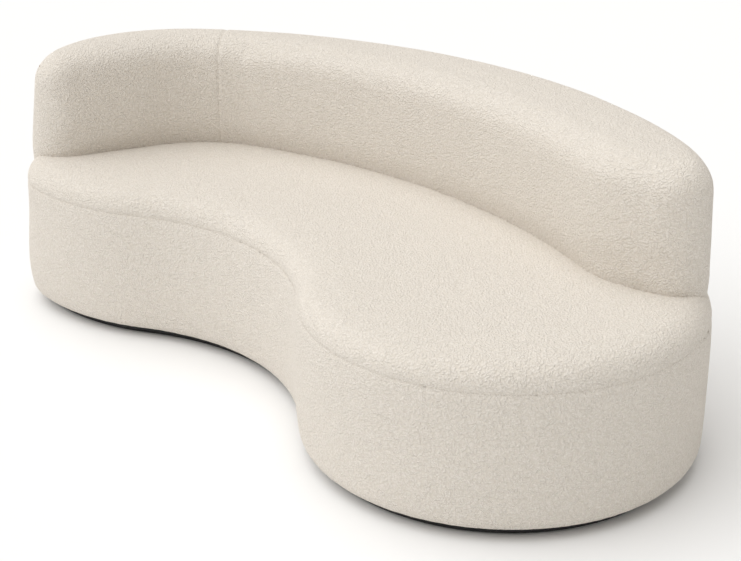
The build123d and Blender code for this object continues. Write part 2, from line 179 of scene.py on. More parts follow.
class SofaTrim(bpy.types.PropertyGroup):
    """Sizes of the plinth's face, the stitches and the staples."""

    plinth_reach: length("Plinth reach", "How far the plinth's face stands outside its CAD solid", 0.014)
    plinth_play: length("Plinth play", "Room between the plinth's outer edge and the cloth above it", 0.0005)
    plinth_edge: length("Plinth edge", "Width of the plinth's softened edges", 0.0015)
    stitch_pitch: length("Stitch pitch", "Distance from one stitch to the next", 0.006)
    stitch_length: length("Stitch length", "Length of a stitch", 0.0045)
    thread_diameter: length("Thread diameter", "Diameter of the sewing thread", 0.0009)
    staple_pitch: length("Staple pitch", "Distance from one staple to the next", 0.028)
    staple_crown: length("Staple crown", "Width of a staple", 0.0095)
    staple_wire: length("Staple wire", "Thickness of a staple's wire", 0.001)
    staple_line: length("Staple line", "Distance of the staples outside the plinth's CAD solid", 0.022)
    staple_seed: bpy.props.IntProperty(
        name="Staple seed", description="Seed for the slant of the staples", default=7)


class SofaColours(bpy.types.PropertyGroup):
    """Colours of the finishes that show."""

    # The loop valley colour is the crown's cloth darkened as painted shade for the hollows between the loops
    loop_crown: colour("Loop crown", "Cover cloth on top of its loops", (0.935, 0.88, 0.815))
    shaded_loop_valley: colour("Loop valley", "Cover cloth between its loops", (0.77, 0.71, 0.63))
    thread: colour("Thread", "Sewing thread", (0.68, 0.61, 0.53))
    plinth: colour("Plinth", "Black lacquer of the plinth", (0.012, 0.012, 0.013))
    floor: colour("Floor", "Pale floor of the stage", (0.88, 0.88, 0.88))


class SofaStage(bpy.types.PropertyGroup):
    """Camera and light of the stage."""

    target: bpy.props.FloatVectorProperty(
        name="Target", description="Point that the camera looks at", subtype="TRANSLATION",
        default=(0.1205, -0.0429, 0.2909))
    azimuth: angle("Azimuth", "Camera's direction round the sofa", 41.346)
    elevation: angle("Elevation", "Camera's height above the horizon", 23.157)
    distance: length("Distance", "Camera's distance from its target", 4.3868)
    lens: bpy.props.FloatProperty(
        name="Lens", description="Camera's focal length on a sensor 36 mm wide", default=79.97, unit="CAMERA")
    key_azimuth: angle("Key azimuth", "Direction round the sofa that the key light comes from", -45)
    key_elevation: angle("Key elevation", "Height of the key light above the horizon", 63)
    key_spread: angle("Key spread", "Width of the key light as seen from the sofa", 85)
    key_strength: strength("Key strength", "Strength of the key light", 2.26)
    fill_strength: strength("Fill strength", "Strength of the light from all round", 0.52)
    fill_colour: colour("Fill colour", "Colour of the light from all round", (1.0, 0.98, 0.945))


def direction(azimuth, elevation):
    """Direction from the sofa, where azimuth 0 is its front and the elevation is above the horizon."""
    return Vector((sin(azimuth) * cos(elevation), -cos(azimuth) * cos(elevation), sin(elevation)))


def facing(out):
    """Rotation of a lamp or camera that stands out in a direction and looks back."""
    return out.to_track_quat("Z", "Y").to_euler()


def linked(name, data):
    """New object with a mesh, a light or a camera, in the scene."""
    piece = bpy.data.objects.new(name, data)
    bpy.context.scene.collection.objects.link(piece)
    return piece


def baked(piece):
    """Turns a piece's live modifiers into its own plain mesh."""
    depsgraph = bpy.context.evaluated_depsgraph_get()
    mesh = bpy.data.meshes.new_from_object(piece.evaluated_get(depsgraph))
    mesh.name = piece.name
    piece.modifiers.clear()
    old = piece.data
    piece.data = mesh
    bpy.data.meshes.remove(old)
    return piece


def give_material(piece, material):
    """Gives a piece one material and no other."""
    piece.data.materials.clear()
    piece.data.materials.append(material)


def points_of(mesh, kind="co"):
    """Places of the vertices, or another vector of each, as an array."""
    flat = np.empty(len(mesh.vertices) * 3)
    mesh.vertices.foreach_get(kind, flat)
    return flat.reshape(-1, 3)


def move_points(mesh, places):
    """Writes vertex places from an array."""
    mesh.vertices.foreach_set("co", places.astype(np.float32).ravel())
    mesh.update()


def merged_mesh(nodes):
    """One bmesh of some CAD nodes, with coincident corners merged."""
    mesh = bmesh.new()
    for node in nodes:
        mesh.from_mesh(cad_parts[node].data)
    bmesh.ops.remove_doubles(mesh, verts=mesh.verts, dist=MERGE)
    return mesh


def face_of(nodes):
    """Search tree over the faces of some CAD nodes."""
    mesh = merged_mesh(nodes)
    tree = BVHTree.FromBMesh(mesh)
    mesh.free()
    return tree


def cloth_face(name):
    """Search tree over the faces of a finished panel."""
    data = bpy.data.objects[name].data
    places = [vertex.co for vertex in data.vertices]
    return BVHTree.FromPolygons(places, [face.vertices for face in data.polygons])


def soft_blank(name, solids, covers, spacing):
    """Closed body in even quads over some CAD solids, drawn out to the face of their covers."""
    inside = merged_mesh(solids)
    mesh = bpy.data.meshes.new(name)
    inside.to_mesh(mesh)
    inside.free()
    blank = linked(name, mesh)
    quads = blank.modifiers.new("Even quads", "REMESH")
    quads.mode = "VOXEL"
    quads.voxel_size = spacing
    settle = blank.modifiers.new("Settle", "SMOOTH")
    settle.factor = SETTLE_STRENGTH
    settle.iterations = SETTLE_TURNS
    baked(blank)
    face = face_of(covers)
    outwards = [vertex.normal.copy() for vertex in blank.data.vertices]
    for vertex, normal in zip(blank.data.vertices, outwards):
        place = face.ray_cast(vertex.co + normal * REACH, -normal, 2 * REACH)[0]
        if place:
            vertex.co = place
    return blank


def evened(values, edges, turns, held):
    """Spreads vertex values over their neighbours, but for the held vertices."""
    counts = np.bincount(edges.ravel(), minlength=len(values))
    for _ in range(turns):
        total = np.zeros_like(values)
        np.add.at(total, edges[:, 0], values[edges[:, 1]])
        np.add.at(total, edges[:, 1], values[edges[:, 0]])
        values = np.where(held, values, (values + total / counts) / 2)
    return values


def stuffed(body, held, furthest, settings):
    """Swells a closed body between its held vertices, by at most a distance for each vertex.

    The cloth is simulated without its foam, so what it would sink or slide is left out afterwards.
    """
    mesh = body.data
    start = points_of(mesh)
    normals = points_of(mesh, "normal")
    group = body.vertex_groups.new(name="held")
    group.add(np.flatnonzero(held).tolist(), 1.0, "REPLACE")
    cloth = body.modifiers.new("Stuffing", "CLOTH")
    cloth.settings.quality = CLOTH_STEPS
    cloth.settings.use_pressure = True
    cloth.settings.uniform_pressure_force = settings.pressure
    cloth.settings.effector_weights.gravity = 0.0
    cloth.settings.vertex_group_mass = group.name
    cloth.collision_settings.use_collision = False
    cloth.point_cache.frame_start = 1
    cloth.point_cache.frame_end = settings.stuffing_frames
    for step in range(1, settings.stuffing_frames + 1):
        bpy.context.scene.frame_set(step)
    depsgraph = bpy.context.evaluated_depsgraph_get()
    swollen = points_of(body.evaluated_get(depsgraph).data)
    body.modifiers.clear()
    body.vertex_groups.clear()
    bpy.context.scene.frame_set(1)
    outwards = np.maximum(((swollen - start) * normals).sum(axis=1), 0.0)
    edges = np.empty(len(mesh.edges) * 2, dtype=np.int64)
    mesh.edges.foreach_get("vertices", edges)
    rise = evened(furthest * (1 - np.exp(-outwards / furthest)), edges.reshape(-1, 2), EVEN_TURNS, held)
    move_points(mesh, start + normals * (rise + settings.cover_offset)[:, None])
    return body


def subdivided(body):
    """Finer, smooth copy of a body's mesh."""
    finer = body.modifiers.new("Finer", "SUBSURF")
    finer.levels = finer.render_levels = 1
    return baked(body)


def cut_loop(mesh, place, normal, by_seam):
    """Cuts one edge loop along a plane through the faces by a seam, and returns its edges."""
    faces = [face for face in mesh.faces if by_seam(face.calc_center_median())]
    edges = {edge for face in faces for edge in face.edges}
    verts = {vert for face in faces for vert in face.verts}
    geom = [*verts, *edges, *faces]
    cut = bmesh.ops.bisect_plane(mesh, geom=geom, plane_co=place, plane_no=normal, dist=MERGE)
    return [item for item in cut["geom_cut"] if isinstance(item, bmesh.types.BMEdge)]


def sew(mesh, middle, normal, on_panel, settings):
    """Sews a seam along a plane: marks its line and presses a rounded valley along it."""
    width = settings.seam_width

    def by_seam(place):
        return on_panel(place) and abs((place - middle).dot(normal)) < settings.mesh_spacing + width

    for share in SEAM_LOOPS:
        for edge in cut_loop(mesh, middle + normal * share * width, normal, by_seam):
            edge.seam = share == 0.0
    mesh.normal_update()
    pressed = [vert for vert in mesh.verts if on_panel(vert.co)]
    depths = [settings.seam_depth * exp(-((vert.co - middle).dot(normal) / width) ** 2) for vert in pressed]
    moves = [vert.normal * depth for vert, depth in zip(pressed, depths)]
    for vert, move in zip(pressed, moves):
        vert.co -= move


def opened(body):
    """A body's mesh, open for cutting."""
    mesh = bmesh.new()
    mesh.from_mesh(body.data)
    return mesh


def closed(body, mesh):
    """Writes a cut mesh back to its body."""
    mesh.to_mesh(body.data)
    mesh.free()
    return body


def panel(name, mesh, chosen):
    """Piece with the faces of a mesh whose middles are chosen."""
    part = mesh.copy()
    dropped = [face for face in part.faces if not chosen(face.calc_center_median())]
    bmesh.ops.delete(part, geom=dropped, context="FACES")
    data = bpy.data.meshes.new(name)
    part.to_mesh(data)
    part.free()
    data.shade_smooth()
    return linked(name, data)


def keep_seam_line(name, mesh):
    """Keeps a body's marked edges as a mesh of lines, for the stitches."""
    edges = [edge for edge in mesh.edges if edge.seam]
    verts = list({vert for edge in edges for vert in edge.verts})
    number = {vert: index for index, vert in enumerate(sorted(verts, key=lambda vert: vert.index))}
    line = bpy.data.meshes.new(name)
    places = [vert.co for vert in number]
    line.from_pydata(places, [[number[vert] for vert in edge.verts] for edge in edges], [])


def added(tree, kind, inputs, **settings):
    """New node with some settings, whose inputs are linked to outputs or set to values."""
    node = tree.nodes.new(kind)
    for name, value in settings.items():
        setattr(node, name, value)
    for name, value in inputs.items():
        if isinstance(value, bpy.types.NodeSocket):
            tree.links.new(value, node.inputs[name])
        else:
            node.inputs[name].default_value = value
    return node


def maths(tree, operation, first, second=0.0):
    """Result of a math node on outputs or numbers."""
    return added(tree, "ShaderNodeMath", {0: first, 1: second}, operation=operation).outputs[0]


def vector(tree, values):
    """Vector of three outputs or numbers."""
    return added(tree, "ShaderNodeCombineXYZ", dict(enumerate(values))).outputs[0]


def new_tree(name, sizes):
    """Node tree with a geometry, some named sizes and a material as its inputs, and those inputs."""
    tree = bpy.data.node_groups.new(name, "GeometryNodeTree")
    face = tree.interface
    face.new_socket("Geometry", in_out="INPUT", socket_type="NodeSocketGeometry")
    for label in sizes:
        kind = "NodeSocketInt" if label == "Seed" else "NodeSocketFloat"
        face.new_socket(label, in_out="INPUT", socket_type=kind)
    face.new_socket("Material", in_out="INPUT", socket_type="NodeSocketMaterial")
    face.new_socket("Geometry", in_out="OUTPUT", socket_type="NodeSocketGeometry")
    return tree, tree.nodes.new("NodeGroupInput").outputs


def ended(tree, geometry, given):
    """Ends a node tree in real geometry with its material, and returns the tree."""
    real = added(tree, "GeometryNodeRealizeInstances", {0: geometry})
    clad = added(
        tree, "GeometryNodeSetMaterial", {"Geometry": real.outputs[0], "Material": given["Material"]})
    added(tree, "NodeGroupOutput", {0: clad.outputs[0]})
    return tree


def pile_tree():
    """Node tree that gives a body the lumps of its pile and the unevenness of its foam."""
    tree, given = new_tree("Loop pile", ("Lump height", "Lump size", "Wave height", "Wave size"))
    place = tree.nodes.new("GeometryNodeInputPosition").outputs["Position"]
    normal = tree.nodes.new("GeometryNodeInputNormal").outputs["Normal"]
    heights = []
    for form in ("Lump", "Wave"):
        scale = maths(tree, "DIVIDE", 1.0, given[form + " size"])
        grain = added(tree, "ShaderNodeTexNoise", {"Vector": place, "Scale": scale, "Detail": 1.0})
        centred = maths(tree, "SUBTRACT", grain.outputs["Fac"], 0.5)
        heights.append(maths(tree, "MULTIPLY", centred, given[form + " height"]))
    both = maths(tree, "ADD", *heights)
    outwards = added(tree, "ShaderNodeVectorMath", {0: normal, "Scale": both}, operation="SCALE")
    moved = added(
        tree, "GeometryNodeSetPosition", {"Geometry": given["Geometry"], "Offset": outwards.outputs[0]})
    return ended(tree, moved.outputs["Geometry"], given)


def along_line(tree, given, axis):
    """Points at a pitch along a piece's lines, and the rotation that turns an axis along the line."""
    line = added(tree, "GeometryNodeMeshToCurve", {"Mesh": given["Geometry"]}).outputs["Curve"]
    points = added(
        tree, "GeometryNodeResampleCurve", {"Curve": line, "Length": given["Pitch"]}, mode="LENGTH")
    tangent = tree.nodes.new("GeometryNodeInputTangent").outputs["Tangent"]
    turned = added(tree, "FunctionNodeAlignRotationToVector", {"Vector": tangent}, axis=axis)
    return points.outputs["Curve"], turned.outputs["Rotation"]


def stitch_tree():
    """Node tree that lays stitches along a seam's line."""
    tree, given = new_tree("Stitches", ("Pitch", "Length", "Diameter"))
    points, rotation = along_line(tree, given, "Z")
    ball = {"Segments": STITCH_SIDES, "Rings": STITCH_RINGS, "Radius": 0.5}
    copies = added(tree, "GeometryNodeInstanceOnPoints", {
        "Points": points,
        "Instance": added(tree, "GeometryNodeMeshUVSphere", ball).outputs["Mesh"],
        "Rotation": rotation,
        "Scale": vector(tree, (given["Diameter"], given["Diameter"], given["Length"])),
    })
    return ended(tree, copies.outputs["Instances"], given)


def staple_tree():
    """Node tree that sets slightly slanting staples along a line, crown down."""
    tree, given = new_tree("Staples", ("Pitch", "Crown", "Wire", "Seed"))
    points, rotation = along_line(tree, given, "X")
    crown = given["Crown"]
    wire = given["Wire"]
    leg = maths(tree, "MULTIPLY", wire, STAPLE_LEG)
    half = maths(tree, "DIVIDE", crown, 2.0)
    other_half = maths(tree, "MULTIPLY", half, -1.0)
    bars = (
        ((crown, wire, wire), (0.0, 0.0, 0.0)),
        ((wire, wire, leg), (half, 0.0, wire)),
        ((wire, wire, leg), (other_half, 0.0, wire)),
    )
    staple = tree.nodes.new("GeometryNodeJoinGeometry")
    for size, place in bars:
        bar = added(tree, "GeometryNodeMeshCube", {"Size": vector(tree, size)}).outputs["Mesh"]
        moved = added(
            tree, "GeometryNodeTransform", {"Geometry": bar, "Translation": vector(tree, place)})
        tree.links.new(moved.outputs["Geometry"], staple.inputs[0])
    slants = {0: (0.0, 0.0, -STAPLE_SLANT), 1: (0.0, 0.0, STAPLE_SLANT), "Seed": given["Seed"]}
    slant = added(tree, "FunctionNodeRandomValue", slants, data_type="FLOAT_VECTOR").outputs[0]
    slanted = added(
        tree, "FunctionNodeRotateRotation", {"Rotation": rotation, "Rotate By": slant},
        rotation_space="LOCAL")
    copies = added(tree, "GeometryNodeInstanceOnPoints", {
        "Points": points,
        "Instance": staple.outputs["Geometry"],
        "Rotation": slanted.outputs["Rotation"],
    })
    return ended(tree, copies.outputs["Instances"], given)


def grown(piece, tree, values):
    """Runs a node tree on a piece with its named inputs, and keeps the plain mesh."""
    modifier = piece.modifiers.new(tree.name, "NODES")
    modifier.node_group = tree
    for item in tree.interface.items_tree:
        if item.in_out == "INPUT" and item.name in values:
            modifier[item.identifier] = values[item.name]
    give_material(baked(piece), values["Material"])
    return piece


def with_pile(body, settings):
    """Gives a sewn body the lumps of its pile and the unevenness of its foam."""
    return grown(body, pile_tree(), {
        "Lump height": settings.lump_height,
        "Lump size": settings.lump_size,
        "Wave height": settings.wave_height,
        "Wave size": settings.wave_size,
        "Material": finish("boucle_cover"),
    })


def upholster(piece, node, settings):
    """Gives a cover panel the cloth's thickness, and lets it stand for its CAD node."""
    cloth = piece.modifiers.new("Cloth", "SOLIDIFY")
    cloth.thickness = settings.cloth_thickness
    cloth.offset = -1.0
    baked(piece)
    piece.data.set_sharp_from_angle(angle=CLOTH_CREASE)
    give_material(piece, finish("boucle_cover"))
    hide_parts(node)
    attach(piece, BODY)


class Finish:
    """A material's node tree with short ways to add to it."""

    def __init__(self, name, roughness):
        self.material = bpy.data.materials.new(name)
        self.material.use_nodes = True
        self.tree = self.material.node_tree
        self.shader = self.tree.nodes["Principled BSDF"]
        self.shader.inputs["Roughness"].default_value = roughness
        self.place = self.tree.nodes.new("ShaderNodeTexCoord").outputs["Object"]

    def stretched(self, scale):
        """Object coordinates scaled along the axes."""
        return added(self.tree, "ShaderNodeMapping", {"Vector": self.place, "Scale": scale}).outputs[0]

    def noise(self, scale, detail=2.0, place=None, kind="Fac"):
        """Noise texture, by default a value."""
        inputs = {"Vector": place or self.place, "Scale": scale, "Detail": detail}
        return added(self.tree, "ShaderNodeTexNoise", inputs).outputs[kind]

    def cells(self, scale, smoothness, place=None):
        """Distance to the middle of rounded cells."""
        inputs = {"Vector": place or self.place, "Scale": scale, "Smoothness": smoothness}
        return added(self.tree, "ShaderNodeTexVoronoi", inputs, feature="SMOOTH_F1").outputs["Distance"]

    def math(self, operation, first, second=0.0):
        """Result of a math node on outputs or numbers."""
        return maths(self.tree, operation, first, second)

    def shaken(self, scale, amount):
        """Object coordinates moved about by noise."""
        inputs = {0: self.noise(scale, kind="Color"), 1: (amount, amount, amount), 2: self.place}
        return added(self.tree, "ShaderNodeVectorMath", inputs, operation="MULTIPLY_ADD").outputs[0]

    def ranged(self, value, ends, low, high):
        """Value mapped from or to a range, where the other range is 0 to 1."""
        inputs = {"Value": value, ends + " Min": low, ends + " Max": high}
        return added(self.tree, "ShaderNodeMapRange", inputs).outputs["Result"]

    def shade(self, output, name):
        """Links an output to one of the shader's inputs."""
        self.tree.links.new(output, self.shader.inputs[name])

    def rough(self, value, low, high):
        """Roughness between two values."""
        self.shade(self.ranged(value, "To", low, high), "Roughness")

    def colour(self, value, first, second):
        """Base colour between two colours."""
        inputs = {0: value, MIX_FIRST: (*first, 1.0), MIX_SECOND: (*second, 1.0)}
        mix = added(self.tree, "ShaderNodeMix", inputs, data_type="RGBA")
        self.shade(mix.outputs[MIX_RESULT], "Base Color")

    def relief(self, height, distance):
        """Bump from a height."""
        bump = added(self.tree, "ShaderNodeBump", {"Height": height, "Strength": 1.0, "Distance": distance})
        self.shade(bump.outputs["Normal"], "Normal")

    def grained(self, grain, first, second, distance):
        """The material, coloured by its grain and with the grain's relief."""
        self.colour(grain, first, second)
        self.relief(grain, distance)
        return self.material


def loop_pile_cloth():
    """Cream cloth with a curly loop pile, painted darker in the hollows between its loops as shade, with
    random lighter and darker clumps.
    """
    colours = bpy.context.scene.sofa_colours
    cloth = Finish("boucle_pile", roughness=0.95)
    strayed = cloth.shaken(scale=95.0, amount=0.008)
    curls = cloth.math("SUBTRACT", 1.0, cloth.cells(scale=200.0, place=strayed, smoothness=0.35))
    strands = cloth.noise(scale=620.0, detail=3.0)
    height = cloth.math("ADD", cloth.math("MULTIPLY", curls, 0.8), cloth.math("MULTIPLY", strands, 0.35))
    clumps = cloth.noise(scale=34.0)
    # Base colour by pile height: painted shade in the low hollows, the cloth's own colour on the loop crowns,
    # plus random clump tone
    painted_light_by_height = cloth.ranged(height, "From", 0.45, 1.0)
    tone = cloth.math("ADD", painted_light_by_height, cloth.math("MULTIPLY", clumps, 0.25))
    cloth.colour(cloth.math("SUBTRACT", tone, 0.08), colours.shaded_loop_valley, colours.loop_crown)
    cloth.relief(height, distance=0.005)
    cloth.shader.inputs["Sheen Weight"].default_value = 0.25
    cloth.shader.inputs["Sheen Roughness"].default_value = 0.6
    cloth.shader.inputs["Sheen Tint"].default_value = (1.0, 0.96, 0.9, 1.0)
    cloth.shader.inputs["Specular IOR Level"].default_value = 0.15
    return cloth.material


def sewing_thread():
    """Twisted sewing thread."""
    colours = bpy.context.scene.sofa_colours
    thread = Finish("sewing_thread", roughness=0.7)
    twist = thread.noise(scale=900.0, detail=1.0, place=thread.stretched((1.0, 1.0, 2.5)))
    shaded = tuple(0.75 * value for value in colours.thread)
    return thread.grained(twist, shaded, colours.thread, distance=0.0003)


def black_lacquer():
    """Satin black lacquer with a faint grain under it."""
    colours = bpy.context.scene.sofa_colours
    lacquer = Finish("plinth_black", roughness=0.42)
    grain = lacquer.noise(scale=40.0, detail=4.0, place=lacquer.stretched((1.0, 1.0, 9.0)))
    lacquer.rough(lacquer.noise(scale=14.0), 0.34, 0.52)
    lighter = tuple(2.2 * value for value in colours.plinth)
    return lacquer.grained(grain, colours.plinth, lighter, distance=0.0002)


def birch_plywood():
    """Pale birch plywood with its layers on the cut edges."""
    ply = Finish("birch_ply", roughness=0.62)
    split = added(ply.tree, "ShaderNodeSeparateXYZ", {0: ply.place})
    layers = ply.math("SINE", ply.math("MULTIPLY", split.outputs["Z"], 4200.0))
    figure = ply.noise(scale=9.0, detail=5.0, place=ply.stretched((1.0, 7.0, 1.0)))
    tone = ply.math("ADD", ply.math("MULTIPLY", figure, 0.8), ply.math("MULTIPLY", layers, 0.15))
    return ply.grained(tone, (0.50, 0.35, 0.20), (0.74, 0.57, 0.38), distance=0.0004)


def sawn_softwood():
    """Sawn softwood with long grain."""
    wood = Finish("softwood", roughness=0.7)
    grain = wood.noise(scale=22.0, detail=6.0, place=wood.stretched((4.0, 4.0, 0.4)))
    return wood.grained(grain, (0.46, 0.29, 0.14), (0.72, 0.52, 0.30), distance=0.0006)


def brown_hardboard():
    """Pressed fibre board."""
    board = Finish("hardboard", roughness=0.75)
    fibre = board.noise(scale=260.0, detail=4.0)
    return board.grained(fibre, (0.16, 0.09, 0.045), (0.30, 0.18, 0.10), distance=0.0004)


def open_foam():
    """Cut foam with open cells."""
    foam = Finish("foam", roughness=0.9)
    cells = foam.cells(scale=420.0, smoothness=0.2)
    return foam.grained(cells, (0.82, 0.77, 0.58), (0.66, 0.60, 0.42), distance=0.0008)


def elastic_webbing():
    """Woven webbing with lengthwise stripes."""
    webbing = Finish("webbing", roughness=0.8)
    wave = added(webbing.tree, "ShaderNodeTexWave", {"Vector": webbing.place, "Scale": 120.0})
    return webbing.grained(wave.outputs["Fac"], (0.10, 0.10, 0.105), (0.23, 0.22, 0.21), distance=0.0006)


def grey_felt():
    """Needled felt."""
    felt = Finish("felt", roughness=0.95)
    fibre = felt.noise(scale=340.0, detail=5.0)
    return felt.grained(fibre, (0.20, 0.20, 0.19), (0.42, 0.41, 0.38), distance=0.0008)


def black_lining():
    """Bonded black cloth under the seat."""
    lining = Finish("dust_cloth", roughness=0.85)
    dots = lining.cells(scale=480.0, smoothness=0.1)
    return lining.grained(dots, (0.02, 0.02, 0.02), (0.05, 0.05, 0.05), distance=0.0004)


def zinc_plate():
    """Bright zinc on steel fasteners."""
    zinc = Finish("zinc_steel", roughness=0.35)
    zinc.shader.inputs["Metallic"].default_value = 1.0
    spangle = zinc.noise(scale=180.0, detail=3.0)
    zinc.colour(spangle, (0.50, 0.51, 0.53), (0.72, 0.73, 0.74))
    zinc.rough(spangle, 0.25, 0.45)
    return zinc.material


def staple_wire():
    """Bright wire of the staples."""
    wire = Finish("staple_wire", roughness=0.3)
    wire.shader.inputs["Metallic"].default_value = 1.0
    drawn = wire.noise(scale=700.0, detail=2.0)
    wire.colour(drawn, (0.58, 0.57, 0.55), (0.78, 0.77, 0.75))
    wire.rough(drawn, 0.22, 0.4)
    return wire.material


def grey_nylon():
    """Moulded nylon."""
    nylon = Finish("nylon", roughness=0.5)
    grain = nylon.noise(scale=300.0, detail=2.0)
    return nylon.grained(grain, (0.16, 0.16, 0.165), (0.22, 0.22, 0.225), distance=0.0002)


FINISHES = {
    "boucle_cover": loop_pile_cloth,
    "plinth_black": black_lacquer,
    "birch_ply": birch_plywood,
    "softwood": sawn_softwood,
    "hardboard": brown_hardboard,
    "foam": open_foam,
    "webbing": elastic_webbing,
    "felt": grey_felt,
    "dust_cloth": black_lining,
    "zinc_steel": zinc_plate,
    "nylon": grey_nylon,
}


@cache
def finish(slot):
    """Material of one of the record's slots, made once."""
    return FINISHES[slot]()


def seam_plane(first, second):
    """Middle and normal of the plane where two CAD covers meet."""
    tree = KDTree(len(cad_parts[second].data.vertices))
    for index, vertex in enumerate(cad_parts[second].data.vertices):
        tree.insert(vertex.co, index)
    tree.balance()
    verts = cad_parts[first].data.vertices
    places = np.array([vertex.co for vertex in verts if tree.find(vertex.co)[2] < MERGE])
    middle = places.mean(axis=0)
    normal = np.linalg.svd(places - middle)[2][2]
    return Vector(middle), Vector(normal)


def tuck_edge():
    """Search tree over the covers' edge under the base, which faces the plinth."""
    edge = merged_mesh(SEAT_COVERS[1:])
    other = [
        face for face in edge.faces
        if abs(face.normal.z) > EDGE_LEAN
        or abs(face.normal.y) > 1 - MERGE
        or max(vert.co.z for vert in face.verts) > BASE_HEIGHT + MERGE
    ]
    bmesh.ops.delete(edge, geom=other, context="FACES")
    tree = BVHTree.FromBMesh(edge)
    edge.free()
    return tree


def trim_underside(mesh, edge):
    """Cuts away the underside within the covers' edge, and brings the cut to that edge."""
    def within(face):
        middle = face.calc_center_median()
        if middle.z > BASE_HEIGHT + BASE_PLAY or face.normal.z > -UNDERSIDE_LEAN:
            return False
        place, normal, _, _ = edge.find_nearest(middle)
        return (middle - place).dot(normal) > 0

    bmesh.ops.delete(mesh, geom=[face for face in mesh.faces if within(face)], context="FACES")
    for vert in mesh.verts:
        if vert.is_boundary:
            place = edge.find_nearest(vert.co)[0]
            vert.co = (place.x, place.y, UNDERSIDE)


class SOFA_OT_seat_upholstery(bpy.types.Operator):
    """Stuffs the seat, and makes its top panel and its border in two lengths"""

    bl_idname = "sofa.seat_upholstery"
    bl_label = "Seat upholstery"

    def execute(self, context):
        settings = context.scene.sofa_upholstery
        body = soft_blank("seat", SEAT_SOLIDS, SEAT_COVERS, settings.mesh_spacing)
        places = points_of(body.data)
        near = HELD_SHARE * settings.mesh_spacing
        above = places[:, 2] > SEAM_HEIGHT
        foot_roll = UNDERSIDE + settings.foot_roll
        standing = face_of(BACK_SOLIDS)
        under_back = np.array([
            high and standing.ray_cast(Vector(place) - UP * REACH, UP, BACK_TOP - BACK_FOOT)[0] is not None
            for high, place in zip(above, places)])
        held = under_back | (np.abs(places[:, 2] - SEAM_HEIGHT) < near) | (places[:, 2] < foot_roll)
        stuffed(body, held, np.where(above, settings.seat_rise, settings.border_belly), settings)
        move_points(body.data, end_shaped(points_of(body.data), settings))
        subdivided(body)

        mesh = opened(body)
        sew(mesh, UP * SEAM_HEIGHT, UP, lambda place: True, settings)
        across = Vector((0, 1, 0))
        cut_loop(mesh, across * BORDER_SEAM, across,
                 lambda place: place.z < SEAM_HEIGHT and abs(place.y - BORDER_SEAM) < settings.mesh_spacing)
        trim_underside(mesh, tuck_edge())
        with_pile(closed(body, mesh), settings)

        mesh = opened(body)
        keep_seam_line("seat_seam_line", mesh)
        panels = (
            ("seat_top_panel", above_seam, "seat_cover_top", PANEL_FILL),
            ("border_front_panel", on_front_border, "border_cover_front", BORDER_FILL),
            ("border_rear_panel", on_rear_border, "border_cover_rear", BORDER_FILL),
        )
        for name, chosen, node, fill in panels:
            upholster(panel(name, mesh, chosen), node, settings)
        mesh.free()
        bpy.data.meshes.remove(body.data)
        return {"FINISHED"}


def above_seam(place):
    """Whether a place is on the seat's top panel."""
    return place.z > SEAM_HEIGHT


def on_front_border(place):
    """Whether a place is on the front length of the border."""
    return not above_seam(place) and place.y < BORDER_SEAM


def on_rear_border(place):
    """Whether a place is on the rear length of the border."""
    return not above_seam(place) and place.y >= BORDER_SEAM


def open_foot(body, settings):
    """Opens the back's body at its foot, and turns the rim in at the foot of the CAD cover."""
    mesh = opened(body)
    under = [face for face in mesh.faces
             if face.normal.z < -WALL_LEAN and face.calc_center_median().z < BACK_FOOT + FOOT_PLAY]
    bmesh.ops.delete(mesh, geom=under, context="FACES")
    mesh.normal_update()
    cover = face_of(BACK_COVERS)
    for vert in mesh.verts:
        if vert.is_boundary:
            outwards = Vector((vert.normal.x, vert.normal.y, 0)).normalized()
            start = Vector((vert.co.x, vert.co.y, BACK_FOOT + settings.foot_tuck)) + outwards * REACH
            foot = cover.ray_cast(start, -outwards, 2 * REACH)[0] or vert.co
            vert.co = foot - outwards * settings.foot_tuck
    closed(body, mesh)


def land_foot(body, settings):
    """Brings the rim of the back's foot down into the seat's top panel."""
    mesh = opened(body)
    seat = cloth_face("seat_top_panel")
    for vert in mesh.verts:
        if vert.is_boundary:
            landing = seat.ray_cast(vert.co + UP * REACH, -UP, LANDING)[0] or vert.co
            vert.co = landing - UP * settings.foot_sink
    closed(body, mesh)


def depth_behind_end(places, node, settings):
    """How far places lie behind a node's left end, and the heading of that end."""
    heading = np.array(direction(settings.arm_heading, 0.0))
    end = np.max(points_of(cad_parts[node].data) @ heading)
    return np.maximum(end - places @ heading, 0.0), heading


def end_shaped(places, settings):
    """Places on the seat, with the border filled out low on the left end."""
    from_end, heading = depth_behind_end(places, "border_cover_front", settings)
    depth = np.clip((SEAM_HEIGHT - places[:, 2]) / (SEAM_HEIGHT - UNDERSIDE), 0.0, 1.0)
    fill = settings.end_fill * np.exp(-from_end / settings.end_fill_length) * np.sin(np.pi * depth ** 2)
    return places + heading * fill[:, None]


def arm_shaped(places, settings):
    """Places on the back, with the arm's end rounded down at its top and filled out at its foot."""
    from_end, heading = depth_behind_end(places, "back_cover_arm", settings)
    rise = np.clip((places[:, 2] - BACK_FOOT) / (BACK_TOP - BACK_FOOT), 0.0, 1.0)
    drop = settings.arm_drop * np.exp(-from_end / settings.arm_drop_length) * rise ** 2
    fill = settings.arm_fill * np.exp(-from_end / settings.arm_fill_length) * (1.0 - rise)
    return places + heading * fill[:, None] - np.array(UP) * drop[:, None]


class SOFA_OT_back_foam(bpy.types.Operator):
    """Shapes the two pieces of foam in the back to its rounded arm"""

    bl_idname = "sofa.back_foam"
    bl_label = "Back foam"

    def execute(self, context):
        settings = context.scene.sofa_upholstery
        for name, node in (("front_foam_pad", "back_foam_front"), ("rear_foam_sheet", "back_foam_rear")):
            piece = linked(name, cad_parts[node].data.copy())
            move_points(piece.data, arm_shaped(points_of(piece.data), settings))
            give_material(piece, finish("foam"))
            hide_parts(node)
            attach(piece, BODY)
        return {"FINISHED"}


